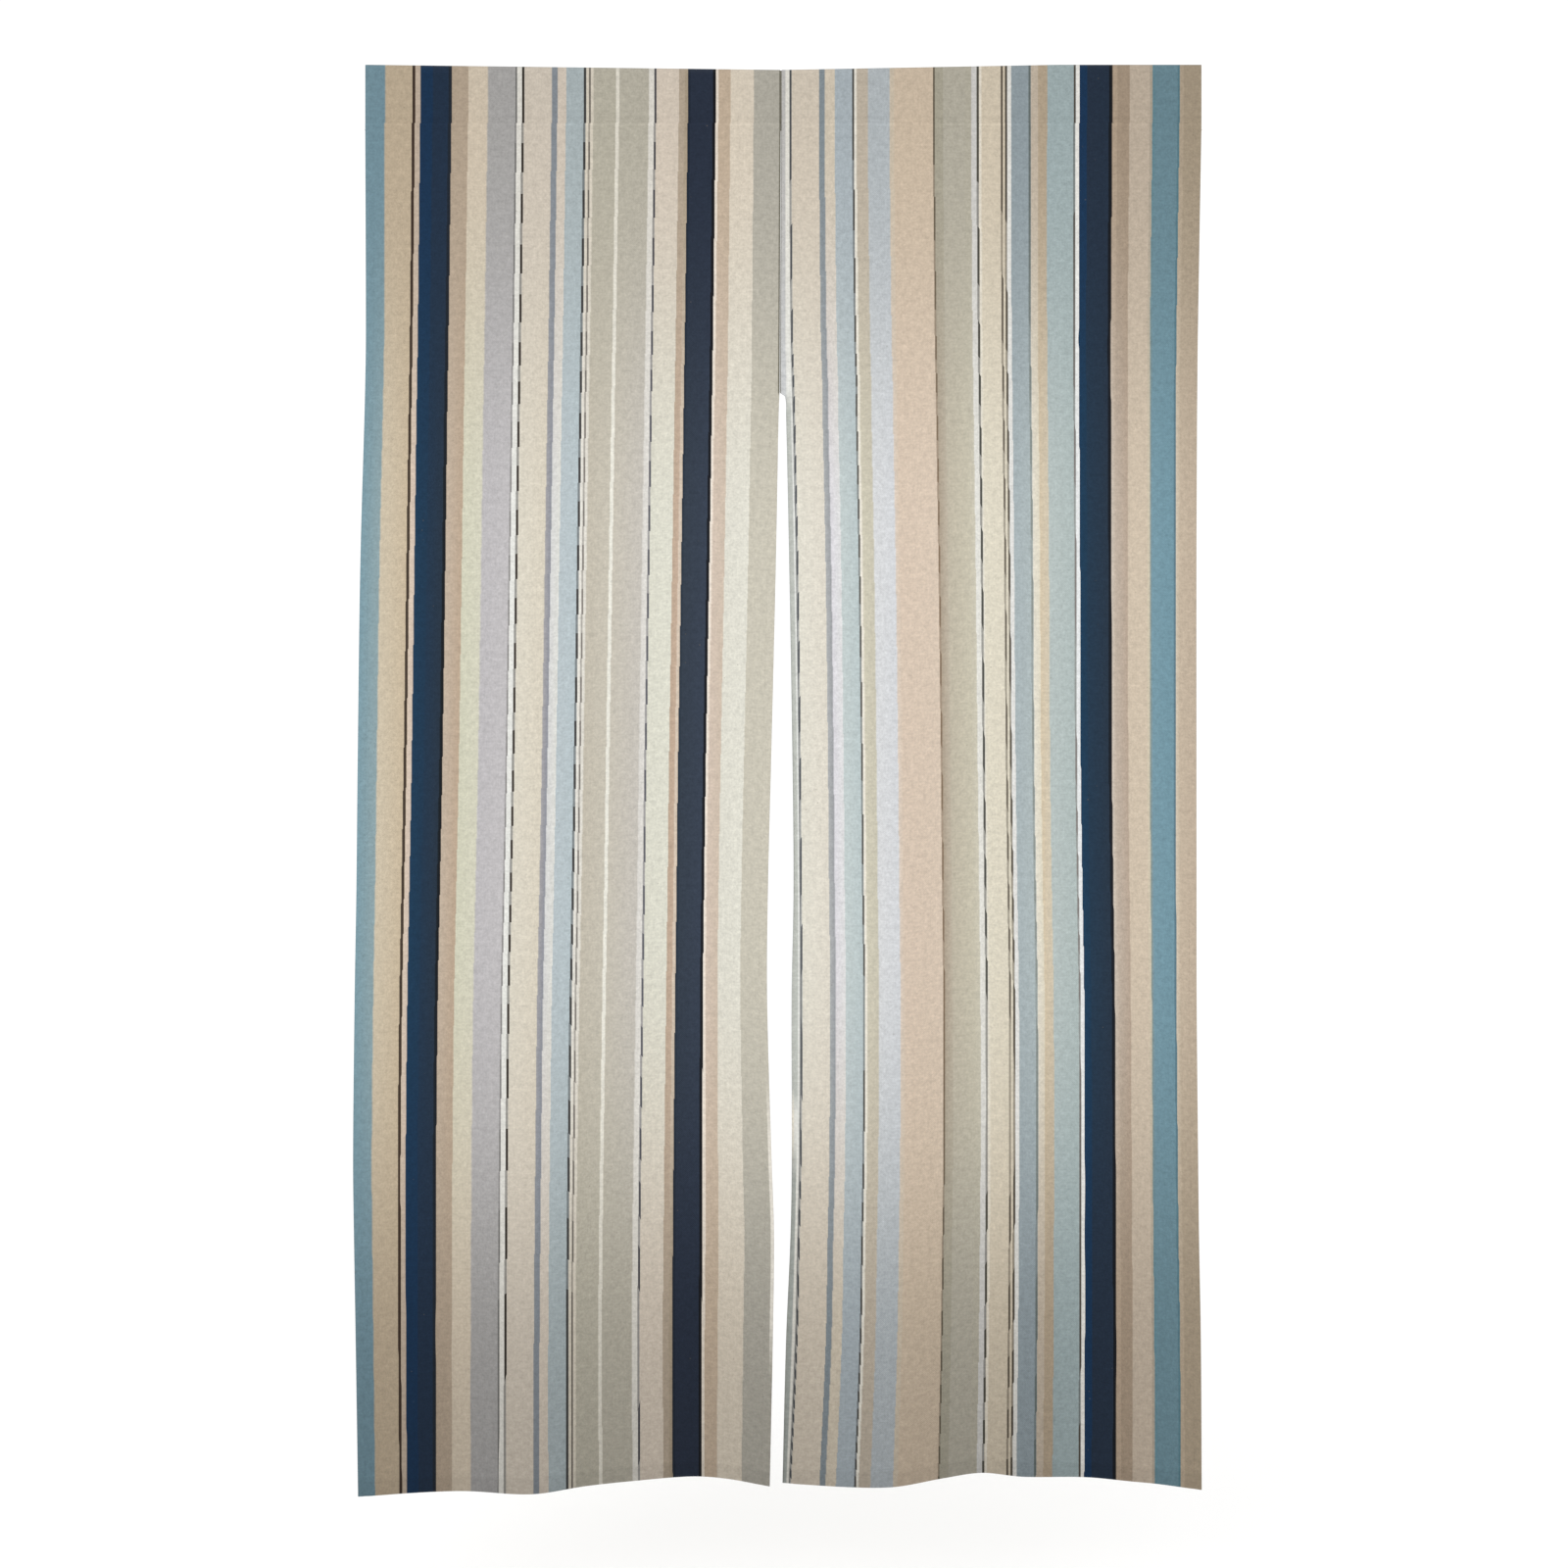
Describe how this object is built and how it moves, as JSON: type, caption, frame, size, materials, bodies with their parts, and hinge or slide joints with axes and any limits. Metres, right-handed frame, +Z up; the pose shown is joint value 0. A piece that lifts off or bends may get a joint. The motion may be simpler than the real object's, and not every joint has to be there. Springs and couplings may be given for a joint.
{
  "type": "door curtain",
  "caption": "Split door curtain of striped cloth: two hemmed panels sewn together above a centre slit, under an open rod pocket.",
  "frame": {"origin": "the middle of the top edge, on the crest of the rod pocket", "axes": "+X to the right as seen from the front, +Y away from the viewer, +Z up"},
  "size_m": [0.8679, 0.048, 1.4618],
  "materials": {
    "striped_cloth": "matt plain weave, printed with vertical stripes",
    "heading_cloth": "matt plain weave, printed with vertical stripes"
  },
  "bodies": {
    "root": {"left_panel": "striped_cloth", "right_panel": "striped_cloth", "rod_pocket": "heading_cloth"}
  },
  "joints": []
}
